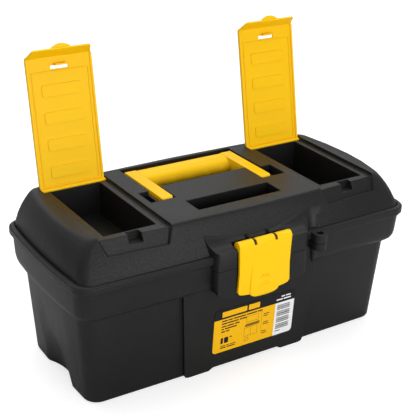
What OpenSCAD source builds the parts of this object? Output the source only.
// Plastic toolbox with a lift-out tray, two lidded bins in the lid, a folding handle and a front latch.
// X runs along the box, the front faces -Y, +Z is up, and the origin is on the floor under the middle.

/* [Box] */
// Overall length over the lid's rim
box_len = 406; // [396:1:416]
// Overall width over the lid's rim, without the latch block and hinges
box_wid = 179; // [175:1:183]
// Height of the joint between base and lid
seam_z = 132; // [130:0.5:134]
// Height of the closed lid above the joint
lid_h = 45; // [44:0.5:48]
// Thickness of the moulded walls
wall = 2.6; // [2.2:0.1:3]

/* [Base] */
// Length of the base where it stands on the floor
foot_len = 363.6; // [358:0.2:366]
// Width of the base where it stands on the floor
foot_wid = 138.6; // [134:0.2:142]
// Height of the flat ledge inside the base that carries the tray
ledge_z = 104; // [103:0.5:105]
// How far the middle panel stands out of the front wall
panel_out = 3.5; // [2.5:0.5:4]

/* [Bins] */
// Distance from the middle of the box to the middle of each bin
bin_x = 127.8; // [127:0.1:128.5]
// Width of each bin's opening
bin_w = 56.8; // [50:0.2:58]
// Height of each bin's floor
bin_floor_z = 137.5; // [136.5:0.5:150]
// Depth of the seat that each cover lies in
seat_drop = 3.4; // [3.2:0.1:3.8]
// How far each open cover leans back from upright, in degrees
cover_lean = 10.8; // [5:0.2:12]

/* [Handle] */
// Distance between the outer faces of the handle's arms
handle_w = 135; // [133:0.5:138]
// Width of each arm
arm_w = 13.4; // [12:0.2:13.6]
// Height of each arm, and twice the radius of its round end
arm_h = 15; // [13:0.5:15]
// Radius of the grip
grip_r = 12; // [10:0.5:12]

/* [Latch] */
// Width of the latch
latch_w = 63; // [56:0.5:64]
// How far the latch block stands in front of the box's middle plane
block_y = 97; // [96:0.5:98]
// Half of the latch block's width
block_half = 55.6; // [52:0.2:57]

/* [Hidden] */
$fn = 48;
side_n = 2;             // points along half of a side
corner_n = 5;           // steps round one corner
eps = 0.01;             // overlap that joins two shapes
fit_gap = 0.06;         // running clearance of a pin, on its radius
lid_z = seam_z + lid_h; // height of the lid's flat top
half_len = box_len / 2;
half_wid = box_wid / 2;
rim_h = 9.8;            // height of the lid's rim
wall_top_z = 98.4;      // where the flared band of the base begins
band_top_z = seam_z - 0.2;
scoop_r = 57;           // finger recess in each end
scoop_deep = 10;
scoop_lean = atan(15.8 / 56);
hinge_y = 95;           // rear hinge axis
hinge_lug_r = 4.6;
hinge_pin_r = 2;
hinge_x = 110;          // middle of each rear hinge
seat_z = lid_z - seat_drop;
seat_half = 37.4;       // half width of the seat that a cover lies in
cover_axis_y = 69.7;
cover_axis_z = lid_z - 3.6;
cover_stub_r = 1.6;
cover_len = 134.6;      // from the cover's hinge axis to the bend at its free end
cover_lip_len = 14.4;
tab_drop = 11.6;        // depth of the finger tab's underside below the cover's top
tab_out = 13.6;         // how far the finger tab stands out from the bend
handle_axis_y = -6;
handle_axis_z = lid_z - 0.3 - arm_h / 2;
handle_pin_r = 3;
grip_y = 59.4;
grip_z = lid_z - 0.3 - grip_r;
finger_pitch = 21;      // distance between the finger waves on the grip
well_half = 70.1;       // half width of the handle's well
well_front = -14.5;
well_back = 77;
well_z = 150.5;         // floor of the handle's well
plateau_half = 53.4;    // raised middle of the lid between the handle's arms
plateau_back = 18.4;
latch_axis_y = -94;
latch_axis_z = 149.5;
latch_rod_r = 1.8;
latch_roll_r = 5;
latch_lug_x = 12.5;     // middle of each lug that holds the latch rod
latch_recess_half = 32.7;
latch_back = 95.8;      // distance of the latch plate's inner face from the middle plane
keeper_y = 92;          // distance of the keeper rib's front from the middle plane
block_low_z = 128.2;    // lower edge of the lid's latch block
block_trough_r = 255;   // the block's top is lowest in the middle and rises towards the slope
block_rise = 17;
eye_x = 71;             // padlock eye
eye_y = -94.6;
eye_r = 7.6;
eye_hole_r = 3.6;
eye_low_z = 124;        // underside of the eye on the base
eye_recess_r = 9;       // round clearance above the eye
eye_recess_lean = 14.5;
panel_tilt = atan(5.8 / wall_top_z);
label_x = 7.1;          // middle of the label
label_w = 101;
label_low = 19.8;
label_tall = 52.2;
tray_half_len = 190.5;
tray_half_wid = 76.5;
black = [0.13, 0.13, 0.13];
yellow = [0.98, 0.76, 0.08];
steel = [0.7, 0.71, 0.73];

// One quarter of a rectangle with bowed sides and round corners, from [a, 0] round to [0, b].
// sx and sy are how much each side bows out, and r is the corner radius.
function quarter(a, b, sx, sy, r) =
    let (f1 = atan(2 * sx / (b - r)), f2 = atan(2 * sy / (a - r)),
         cx = a - sx - r * cos(f1), cy = b - sy - r * cos(f2), ye = cy + r * sin(f1), xe = cx + r * sin(f2))
    concat(
        [for (i = [0:side_n - 1]) let (t = i / side_n) [a - sx * t * t, ye * t]],
        [for (i = [0:corner_n]) let (w = f1 + (90 - f2 - f1) * i / corner_n) [cx + r * cos(w), cy + r * sin(w)]],
        [for (i = [1:side_n]) let (t = 1 - i / side_n) [xe * t, b - sy * t * t]]);

// A closed ring of points at height z. bf and bb are the distances to the front and the back.
function ring(z, a, bf, bb, sx, sf, sb, r) =
    let (k = quarter(a, bb, sx, sb, r), f = quarter(a, bf, sx, sf, r), n = len(k))
    concat(
        [for (i = [0:n - 2]) [k[i][0], k[i][1], z]],
        [for (i = [n - 1:-1:1]) [-k[i][0], k[i][1], z]],
        [for (i = [0:n - 2]) [-f[i][0], -f[i][1], z]],
        [for (i = [n - 1:-1:1]) [f[i][0], -f[i][1], z]]);

// A solid skinned through rings that all have the same number of points. Rings that turn back make a hollow.
module loft(rings) {
    n = len(rings[0]);
    m = len(rings);
    polyhedron(
        points = [for (g = rings) for (p = g) p],
        faces = concat(
            [[for (i = [0:n - 1]) i]],
            [for (j = [0:m - 2]) for (i = [0:n - 1]) [j * n + i, (j + 1) * n + i, j * n + (i + 1) % n]],
            [for (j = [0:m - 2]) for (i = [0:n - 1])
                [j * n + (i + 1) % n, (j + 1) * n + i, (j + 1) * n + (i + 1) % n]],
            [[for (i = [n - 1:-1:0]) (m - 1) * n + i]]),
        convexity = 8);
}

// The base's wall at height z, moved inwards by inset
function wall_ring(z, inset) =
    let (t = z / wall_top_z, a = foot_len / 2 + 10.2 * t - inset, b = foot_wid / 2 + 5.8 * t - inset)
    ring(z, a, b, b, 1 + 2.2 * t, 1 + 0.4 * t, 1 + 0.4 * t, 15 + 4 * t - inset / 2);

// The base's flared band, given as distances inwards from the lid's rim
function band_ring(z, in_x, in_y) =
    ring(z, half_len - in_x, half_wid - in_y, half_wid - in_y, 3.4, 1.4, 1.4, 18.5);

// The lid's rim
function rim_ring(z, inset) =
    ring(z, half_len - inset, half_wid - inset, half_wid - inset, 3.4, 1.4, 1.4, 19 - inset / 2);

// The lid's dome: t runs from 0 at the rim to 1 at the flat top
function dome_ring(t, inset) =
    let (z0 = seam_z + rim_h - 1.4)
    ring(z0 + (lid_z - z0) * t, half_len - 6.4 - 15 * pow(max(t, 0), 2.1) - inset, half_wid - 4.6 - 14.6 * t - inset,
         half_wid - 4.6 - t - inset, 3.4 + 3.4 * t, 1.4 + 8.6 * t, 1.4 + 4.5 * t, 14 - 4 * t - inset / 2);

// The base's skin: up the outside, over the rib that the lid fits round, and down the inside past the tray's ledge
module base_skin() {
    loft([wall_ring(0, 2.2), wall_ring(1, 0.8), wall_ring(3, 0), wall_ring(wall_top_z, 0),
          band_ring(100.4, 7.6, 10.4), band_ring(103.4, 5.4, 7), band_ring(107, 4.4, 5.2),
          band_ring(111, 3.8, 4.4), band_ring(band_top_z, 2.8, 3),
          band_ring(band_top_z, 4, 4.2), band_ring(seam_z + 3.5, 4, 4.2), band_ring(seam_z + 3.5, 5.4, 5.6),
          band_ring(110, 6.4, 7), band_ring(ledge_z, 8, 9.2), wall_ring(ledge_z, wall),
          wall_ring(wall + 3, wall), wall_ring(wall, wall + 1)]);
}

// The lid's skin: from under the flat top down the inside, then up the outside
module lid_skin() {
    loft([dome_ring(0.93, wall + 2), dome_ring(0.9, wall), dome_ring(0.5, wall), dome_ring(0, wall),
          rim_ring(seam_z + rim_h - 3, 3.2), rim_ring(seam_z, 3.2),
          rim_ring(seam_z, 1.5), rim_ring(seam_z + 2, 1.1), rim_ring(seam_z + 2.3, 0),
          rim_ring(seam_z + rim_h - 1.6, 0), rim_ring(seam_z + rim_h, 1.6),
          dome_ring(0.04, -1.1), dome_ring(0, -1), dome_ring(0, -0.1), dome_ring(0.05, 0),
          dome_ring(0.2, 0), dome_ring(0.4, 0), dome_ring(0.6, 0), dome_ring(0.78, 0),
          dome_ring(0.92, 0), dome_ring(0.98, 0.5), dome_ring(1, 1.6)]);
}

// Leaning cylinder that cuts the arched finger recess in the foot of one end
module end_scoop(side, r) {
    mirror([side < 0 ? 1 : 0, 0, 0])
        translate([foot_len / 2 - scoop_deep, 0, 0])
            rotate([0, scoop_lean, 0])
                translate([scoop_r, 0, -20])
                    cylinder(r = r, h = 84, $fn = 96);
}

// Wall behind the finger recess
module scoop_wall(side) {
    x0 = foot_len / 2 - scoop_deep - wall - 1;
    intersection() {
        end_scoop(side, scoop_r + wall);
        mirror([side < 0 ? 1 : 0, 0, 0])
            rotate([90, 0, 0])
                linear_extrude(height = 90, center = true)
                    polygon([[x0, 1.2], [foot_len / 2 - 1.6, 1.2], [foot_len / 2 + 4.6, 60], [x0 + 15, 60]]);
    }
}

// A flat plate laid on the front wall's slope: d is its depth, and out its distance off the wall
module on_front(out, d) {
    translate([0, -foot_wid / 2 - out, 0])
        rotate([90 + panel_tilt, 0, 0])
            translate([0, 0, -d])
                linear_extrude(height = d)
                    children();
}

module front_panel() {
    on_front(panel_out, panel_out + 1.2)
        polygon([[-71, 0], [-46, 0], [-41, 3], [41, 3], [46, 0], [71, 0], [74, 1], [75.3, 4],
                 [82.2, wall_top_z + 3.4], [-82.2, wall_top_z + 3.4], [-75.3, 4], [-74, 1]]);
}

// Plan of the latch block, which narrows towards its front
module block_plan(h) {
    linear_extrude(height = h)
        polygon([[-block_half - 4, -66], [-block_half - 4, -76], [-block_half, -88], [-block_half + 0.6, 4 - block_y],
                 [2.2 - block_half, 1.2 - block_y], [5.4 - block_half, -block_y], [block_half - 5.4, -block_y],
                 [block_half - 2.2, 1.2 - block_y], [block_half - 0.6, 4 - block_y], [block_half, -88],
                 [block_half + 4, -76], [block_half + 4, -66]]);
}

// Lower part of the latch block, on the base, with the keeper rib the latch closes over
module keeper_block() {
    difference() {
        intersection() {
            translate([0, 0, 96.5]) block_plan(block_low_z - 0.4 - 96.5);
            translate([0, -75, 0])
                rotate([90, 0, 0])
                    translate([0, 0, 1])
                        linear_extrude(height = 28)
                            polygon([[-block_half, 130], [-block_half, 112], [-53, 102], [-47, 97.6], [-40, 96.5],
                                     [40, 96.5], [47, 97.6], [53, 102], [block_half, 112], [block_half, 130]]);
        }
        translate([-latch_recess_half, -block_y - 5, 90]) cube([2 * latch_recess_half, block_y - 84, 50]);
        translate([-60, -81.5, 103.4]) cube([120, 20, 40]);
        translate([-60, -83.6, 107]) cube([120, 20, 40]);
    }
    translate([-26, -keeper_y, 113]) cube([52, keeper_y - 84, 4]);
}

// A pair of rear hinge knuckles or the single one between them
module knuckle(w, z0, z1) {
    translate([-w / 2, hinge_y, seam_z]) rotate([0, 90, 0]) cylinder(r = hinge_lug_r, h = w);
    translate([-w / 2, hinge_y - 9.5, z0]) cube([w, 9.5, z1 - z0]);
}

module pin_hole(r) {
    rotate([0, 90, 0]) cylinder(r = r, h = 60, center = true);
}

module base_tub() {
    color(black)
        difference() {
            union() {
                base_skin();
                front_panel();
                keeper_block();
                for (s = [-1, 1]) {
                    scoop_wall(s);
                    for (k = [-1, 1])
                        translate([s * hinge_x + k * 12, 0, 0]) knuckle(8, seam_z - hinge_lug_r, seam_z - 0.4);
                }
                translate([eye_x, eye_y, eye_low_z]) cylinder(r = eye_r, h = band_top_z - eye_low_z);
                translate([eye_x - eye_r, eye_y, eye_low_z]) cube([2 * eye_r, 10, band_top_z - eye_low_z]);
                translate([eye_x, eye_y + 8.5, 104]) cylinder(r1 = 1, r2 = 4.8, h = eye_low_z - 103.5);
            }
            for (s = [-1, 1]) end_scoop(s, scoop_r);
            translate([eye_x, eye_y, 100]) cylinder(r = eye_hole_r, h = 40);
            for (s = [-1, 1]) translate([s * hinge_x, hinge_y, seam_z]) pin_hole(hinge_pin_r);
        }
}

// Walls round the bins, the handle's well, the front slot and the hinges, all ending inside the lid's top skin
module lid_walls() {
    top = lid_z - 1.5;
    for (s = [-1, 1]) {
        translate([s * bin_x - bin_w / 2 - wall, -56.5, bin_floor_z - wall])
            cube([bin_w + 2 * wall, 124, top - bin_floor_z + wall]);
        translate([s * bin_x - seat_half - 2.4, -57, seat_z - 2.4])
            cube([2 * seat_half + 4.8, 132.5, top - seat_z + 2.4]);
        translate([s * bin_x - seat_half - 2.4, 63, 167.4]) cube([2 * seat_half + 4.8, 12.5, top - 167.4]);
        on_slope(s)
            rotate([90, 0, 90])
                linear_extrude(height = 76, center = true)
                    polygon([[-74, 156.4], [-63, top], [-55, top], [-55, 156.4]]);
        translate([s * 77.3 - 7.8, -17, 160.4]) cube([15.6, 32, top - 160.4]);
    }
    difference() {
        translate([-well_half - wall, well_front - wall, well_z - wall])
            cube([2 * (well_half + wall), well_back - well_front + 2 * wall, top - well_z + wall]);
        translate([wall - plateau_half, well_front, well_z - 5])
            cube([2 * (plateau_half - wall), plateau_back - well_front - wall, lid_z - wall - well_z + 5]);
    }
    translate([-52.6, -54.8, 148.4]) cube([105.2, 31, top - 148.4]);
}

// Turns a shape to follow the lid's bow in front of one bin
module on_slope(side) {
    translate([side * bin_x, -65, 0])
        rotate([0, 0, side * 4.1])
            translate([0, 65, 0])
                children();
}

// Recess in the front slope below one bin, narrower at the bottom and inside, which the cover's lip closes into
module slope_recess(side) {
    on_slope(side)
        translate([0, -70.1, 159.2])
            rotate([62, 0, 0])
                linear_extrude(height = 11, scale = [1.22, 1])
                    polygon([[-30.5, 0], [30.5, 0], [35.4, 14], [35.4, 30], [-35.4, 30], [-35.4, 14]]);
}

// The hollows that are open at the top or the front of the lid
module lid_hollows() {
    for (s = [-1, 1]) {
        translate([s * bin_x - bin_w / 2, -53.9, bin_floor_z]) cube([bin_w, 118.9, 60]);
        translate([s * bin_x - seat_half, -80, seat_z]) cube([2 * seat_half, 154.8, 20]);
        translate([s * bin_x - seat_half, 65.6, 169.8]) cube([2 * seat_half, 9.2, 20]);
        slope_recess(s);
        translate([s * bin_x - 7.2, -80, 165.4]) cube([14.4, 24.4, 20]);
        translate([s * bin_x, cover_axis_y, cover_axis_z])
            rotate([0, 90, 0]) cylinder(r = cover_stub_r + fit_gap, h = 2 * seat_half + 4.2, center = true);
        translate([s * 77.3 - 5.2, -14.5, 163]) cube([10.4, 27, 40]);
        translate([s * 71.4 - 2.6, -14.5, handle_axis_z + handle_pin_r + 1.2]) cube([5.2, 27, 20]);
    }
    difference() {
        translate([-well_half, well_front, well_z]) cube([2 * well_half, well_back - well_front, 60]);
        translate([-plateau_half, well_front - 1, well_z - 1])
            cube([2 * plateau_half, plateau_back - well_front + 1, 60]);
    }
    translate([-50, -52.2, 151]) cube([100, 25.3, 60]);
}

// Upper part of the latch block: its top sweeps up in a cove to the lid's slope, and the latch hangs in a notch
module latch_block() {
    difference() {
        intersection() {
            translate([0, 0, block_low_z]) block_plan(50);
            rotate([90, 0, 90])
                linear_extrude(height = 140, center = true)
                    polygon([[-block_y, block_low_z - 1], [-block_y, 146], [0.7 - block_y, 147.3],
                             [2.2 - block_y, 147.9], [-91, 148.1], [-88, 148.9], [-85, 150.5], [-82, 153],
                             [-79.3, 156.2], [-77, 159.8], [-75, 164], [-73, 167], [-70, 167], [-70, 141],
                             [-86.8, 141], [-86.8, block_low_z - 1]]);
        }
        translate([-latch_recess_half, -block_y - 5, 120]) cube([2 * latch_recess_half, block_y - 85, 23]);
        translate([-latch_recess_half, -block_y - 5, 142.9]) cube([2 * latch_recess_half, block_y - 79.4, 40]);
        translate([0, -block_y, 147])
            rotate([-90 + block_rise, 0, 0])
                translate([0, -block_trough_r, -10])
                    cylinder(r = block_trough_r, h = 40, $fn = 240);
    }
    for (s = [-1, 1])
        translate([s * latch_lug_x, latch_axis_y, latch_axis_z]) {
            rotate([0, 90, 0]) cylinder(r = 3.8, h = 2.6, center = true);
            translate([-1.3, 0, -3.8]) cube([2.6, 14, 7.6]);
        }
}

// Leaning cylinder that clears the slope above the padlock eye
module eye_recess(r, h) {
    translate([eye_x, -80.2, seam_z + rim_h])
        rotate([-eye_recess_lean, 0, 0])
            translate([0, -eye_recess_r, -4])
                cylinder(r = r, h = h);
}

// Wall behind that clearance
module eye_backing() {
    intersection() {
        eye_recess(eye_recess_r + 2.2, 30);
        translate([0, -84.4, 141])
            rotate([66.3, 0, 0])
                translate([0, 0, -8])
                    linear_extrude(height = 6.6)
                        translate([eye_x - 13, -1]) square([26, 29]);
    }
}

module lid_shell() {
    color(black)
        difference() {
            union() {
                lid_skin();
                lid_walls();
                latch_block();
                eye_backing();
                for (s = [-1, 1]) translate([s * hinge_x, 0, 0]) knuckle(15, seam_z + 0.4, seam_z + hinge_lug_r);
                translate([eye_x, eye_y, seam_z + 0.3]) cylinder(r = eye_r, h = rim_h - 0.6);
                translate([eye_x - eye_r, eye_y, seam_z + 0.3]) cube([2 * eye_r, 7, rim_h - 0.6]);
            }
            lid_hollows();
            intersection() {
                eye_recess(eye_recess_r, 50);
                translate([eye_x - 12, -100, seam_z + rim_h]) cube([24, 40, 40]);
            }
            translate([eye_x, eye_y, 100]) cylinder(r = eye_hole_r, h = 60);
            for (s = [-1, 1]) {
                translate([s * hinge_x, hinge_y, seam_z]) pin_hole(hinge_pin_r + fit_gap);
                translate([s * 61.4, handle_axis_y, handle_axis_z])
                    rotate([0, 90, 0]) cylinder(r = handle_pin_r, h = 21.2, center = true);
            }
            translate([0, latch_axis_y, latch_axis_z]) pin_hole(latch_rod_r);
        }
}

function tray_ring(z, inset) =
    ring(z, tray_half_len - inset, tray_half_wid - inset, tray_half_wid - inset, 1, 1, 1, 16 - inset / 2);

// Shallow tray that hangs by its rim on the ledge inside the base
module lift_out_tray() {
    low = 76;
    a = tray_half_len;
    b = tray_half_wid;
    color(black)
        difference() {
            union() {
                loft([tray_ring(low, 8.5), tray_ring(ledge_z - 1, 6), tray_ring(ledge_z + 0.05, 6),
                      tray_ring(ledge_z + 0.05, 0), tray_ring(ledge_z + 2.6, 0), tray_ring(ledge_z + 2.6, 1),
                      tray_ring(114, 1), tray_ring(114, 3), tray_ring(ledge_z + 3, 3), tray_ring(ledge_z + 2.6, 8),
                      tray_ring(low + 2.2, 10.5)]);
                translate([9.4 - a, -1.1, low + 1]) cube([2 * a - 18.8, 2.2, 27]);
                for (x = [-100, 0, 100]) translate([x - 1.1, 9.4 - b, low + 1]) cube([2.2, 2 * b - 18.8, 27]);
                translate([0, 1.6, 0])
                    rotate([90, 0, 0])
                        linear_extrude(height = 3.2)
                            polygon([[-75, 100], [75, 100], [66, 118], [54, 126], [-54, 126], [-66, 118]]);
            }
            translate([-38, -5, 108]) cube([76, 10, 12]);
            for (s = [-1, 1])
                translate([s * 38, 0, 114]) rotate([90, 0, 0]) cylinder(r = 6, h = 10, center = true);
        }
}

// Outline of the grip seen from its end: round in front, and square at its rear top
module grip_outline(r, rear, top) {
    circle(r = r);
    polygon([[-1.5, 0], [-1.5, top], [rear - 1.8, top], [rear, top - 1.8], [rear, 0]]);
}

module handle_arm() {
    nose_y = handle_axis_y - arm_h / 2 + arm_w / 2;
    intersection() {
        rotate([90, 0, 90])
            linear_extrude(height = arm_w, center = true) {
                translate([handle_axis_y, handle_axis_z]) circle(r = arm_h / 2);
                translate([handle_axis_y, handle_axis_z - arm_h / 2]) square([grip_y - handle_axis_y, arm_h]);
                translate([grip_y, grip_z]) grip_outline(grip_r - 0.1, grip_r - 0.6, grip_r);
            }
        translate([0, 0, grip_z - 20])
            linear_extrude(height = 40) {
                translate([0, nose_y]) circle(r = arm_w / 2);
                translate([-arm_w / 2, nose_y]) square([arm_w, 90]);
            }
    }
}

// The grip between the arms, slightly thinner than they are, with bulges between the fingers low on its front
module handle_grip() {
    half = handle_w / 2 - arm_w + 0.5;
    r = grip_r - 0.7;
    steps = 40;
    translate([0, grip_y, grip_z]) {
        rotate([90, 0, 90])
            linear_extrude(height = 2 * half, center = true)
                grip_outline(r, grip_r - 1.2, r + 0.2);
        translate([0, -0.8, -0.7])
            rotate([0, 90, 0])
                rotate_extrude()
                    polygon(concat(
                        [[0, 1 - half]],
                        [for (i = [0:steps]) let (x = (half - 1) * (2 * i / steps - 1))
                            [r - 0.55 * (1 - cos(360 * x / finger_pitch)), x]],
                        [[0, half - 1]]));
    }
}

// The handle, folded back flat into its well
module carry_handle() {
    arm_x = (handle_w - arm_w) / 2;
    color(yellow)
        difference() {
            union() {
                for (s = [-1, 1]) translate([s * arm_x, 0, 0]) handle_arm();
                handle_grip();
            }
            for (s = [-1, 1])
                translate([s * arm_x, handle_axis_y, handle_axis_z])
                    rotate([0, 90, 0]) cylinder(r = handle_pin_r + fit_gap, h = 40, center = true);
        }
}

module handle_pin(side) {
    color(steel)
        translate([side * 61.4, handle_axis_y, handle_axis_z])
            rotate([0, 90, 0]) cylinder(r = handle_pin_r, h = 21.2, center = true);
}

// Tongue that thickens the latch's plate towards its lower end
module latch_tongue() {
    intersection() {
        translate([0, -latch_back - 0.5, 0])
            rotate([90, 0, 0])
                linear_extrude(height = 6)
                    polygon([[-14.6, 137], [14.6, 137], [17, 112], [17.4, 97], [16, 94.4], [11, 92.2], [4, 91.2],
                             [-4, 91.2], [-11, 92.2], [-16, 94.4], [-17.4, 97], [-17, 112]]);
        translate([0, -latch_back, 0])
            rotate([90, 0, 90])
                linear_extrude(height = 40, center = true)
                    polygon([[0, 138], [-3, 138], [-4.4, 104], [-4.4, 93], [-3, 90], [0, 90]]);
    }
}

// Outline of a raised thumb mark: an arch over a straight line
module thumb_mark(half, tall) {
    r = (half * half + tall * tall) / (2 * tall);
    difference() {
        intersection() {
            translate([0, tall - r]) circle(r = r);
            translate([-half - 1, 0]) square([2 * half + 2, tall + 1]);
        }
        intersection() {
            translate([0, tall - r]) circle(r = r - 0.8);
            translate([-half - 1, 0.8]) square([2 * half + 2, tall + 1]);
        }
    }
}

// Clearance in the latch for one of the lugs that hold its rod, open at the rear and at the top
module lug_slot() {
    rotate([0, 90, 0]) cylinder(r = 4.2, h = 3.4, center = true);
    translate([-1.7, -8, 0]) cube([3.4, 16, 8]);
    translate([-1.7, 0, -4.4]) cube([3.4, 8, 8]);
}

// The latch: a plate hung on a rod in front of the lid, with a lip that closes below the keeper rib
module front_latch() {
    h = latch_w / 2;
    color(yellow)
        difference() {
            union() {
                translate([0, latch_axis_y, latch_axis_z])
                    rotate([0, 90, 0]) cylinder(r = latch_roll_r, h = latch_w, center = true);
                translate([0, -latch_back, 0])
                    rotate([90, 0, 0])
                        linear_extrude(height = 3.2)
                            polygon([[-h, latch_axis_z], [h, latch_axis_z], [h - 0.8, 134], [h - 1, 120],
                                     [h - 0.4, 106],
                                     [h, 101], [h - 2, 98], [h - 7, 96.8], [18, 96], [-18, 96], [7 - h, 96.8],
                                     [2 - h, 98], [-h, 101], [0.4 - h, 106], [1 - h, 120], [0.8 - h, 134]]);
                latch_tongue();
                for (v = [[112.6, 5.4, 3.4], [103.4, 7.4, 3.6]])
                    translate([0, -latch_back - 3.5, v[0]])
                        rotate([90, 0, 0])
                            linear_extrude(height = 1.4) thumb_mark(v[1], v[2]);
                translate([-24, -latch_back - 0.1, 107]) cube([48, latch_back + 0.1 - keeper_y - 0.4, 4.6]);
                for (x = [4 - h, -1, h - 6])
                    translate([x, -latch_back - 0.1, 120]) cube([2, 2.6, 22]);
            }
            for (s = [-1, 1]) translate([s * latch_lug_x, latch_axis_y, latch_axis_z]) lug_slot();
            translate([0, latch_axis_y, latch_axis_z]) pin_hole(latch_rod_r + fit_gap);
        }
}

module latch_rod() {
    color(steel)
        translate([0, latch_axis_y, latch_axis_z])
            rotate([0, 90, 0]) cylinder(r = latch_rod_r, h = latch_w - 4, center = true);
}

// One bin cover as it lies closed, with its hinge axis on the X axis and its free end towards -Y
module cover_shape() {
    top = lid_z - 0.2 - cover_axis_z;
    difference() {
        union() {
            translate([-36.5, -cover_len, top - 1.9]) cube([73, cover_len, 1.9]);
            rotate([0, 90, 0]) cylinder(r = 2.4, h = 73, center = true);
            rotate([0, 90, 0]) cylinder(r = cover_stub_r, h = 2 * seat_half + 4, center = true);
            for (s = [-1, 1]) {
                translate([s * 35.3 - 1.2, -cover_len, top - 3.1]) cube([2.4, cover_len, 3.1]);
                translate([s * 31.2 - 0.5, -121, top - 2.6]) cube([1, 117, 2]);
            }
            for (y = [-121.2, -5]) translate([-31.6, y, top - 2.6]) cube([63.2, 1, 2]);
            translate([0, -cover_len - 0.2, top - 0.98])
                rotate([0, 90, 0]) cylinder(r = 0.92, h = 72.4, center = true);
            translate([0, -cover_len - 0.2, top - 1.7])
                rotate([56.3, 0, 0])
                    linear_extrude(height = 1.7)
                        cover_lip();
            for (y = [-107.4, -79.6, -51.8, -24])
                translate([-22, y, top - 2.8])
                    linear_extrude(height = 1.5)
                        polygon([[0, 1.6], [1.4, 0], [42.6, 0], [44, 1.6],
                                 [44, 10.4], [42.6, 12], [1.4, 12], [0, 10.4]]);
            translate([-6.5, -128, top - 7]) cube([13, 1.8, 5.5]);
            translate([0, -cover_len, top - tab_drop])
                linear_extrude(height = 1.7)
                    finger_tab();
        }
        translate([-10, -126.2, top - 4]) cube([20, 3.8, 8]);
    }
}

// Outline of the lip at the cover's free end
module cover_lip() {
    end = cover_lip_len;
    polygon([[-36.3, 0.5], [-36.2, -0.4], [-34.4, -4], [-33.4, -8], [-32, 1.2 - end], [-30.2, -end],
             [30.2, -end], [32, 1.2 - end], [33.4, -8], [34.4, -4], [36.2, -0.4], [36.3, 0.5]]);
}

// Outline of the round tab that stands out from the lip for the finger
module finger_tab() {
    intersection() {
        translate([0, 15.9 - tab_out]) circle(r = 15.9);
        translate([-14, -16]) square([28, 9.6]);
    }
}

module cover(side) {
    color(yellow)
        translate([side * bin_x, cover_axis_y, cover_axis_z])
            rotate([-90 - cover_lean, 0, 0]) cover_shape();
}

module left_cover() {
    cover(-1);
}

module right_cover() {
    cover(1);
}

module handle_pin_left() {
    handle_pin(-1);
}

module handle_pin_right() {
    handle_pin(1);
}

module hinge_pin(side) {
    color(steel)
        translate([side * hinge_x, hinge_y, seam_z])
            rotate([0, 90, 0]) cylinder(r = hinge_pin_r, h = 32, center = true);
}

module hinge_pin_left() {
    hinge_pin(-1);
}

module hinge_pin_right() {
    hinge_pin(1);
}

// Printed label on the front panel, with no printing modelled
module front_label() {
    h = label_w / 2 - 4;
    v = label_tall / 2 - 4;
    color([0.93, 0.72, 0.1])
        on_front(panel_out + 0.32, 0.3)
            translate([label_x, label_low + label_tall / 2])
                union() {
                    square([label_w, 2 * v], center = true);
                    square([2 * h, label_tall], center = true);
                    for (s = [-1, 1]) for (k = [-1, 1]) translate([s * h, k * v]) circle(r = 4);
                }
}

base_tub();
lid_shell();
lift_out_tray();
carry_handle();
handle_pin_left();
handle_pin_right();
front_latch();
latch_rod();
left_cover();
right_cover();
hinge_pin_left();
hinge_pin_right();
front_label();
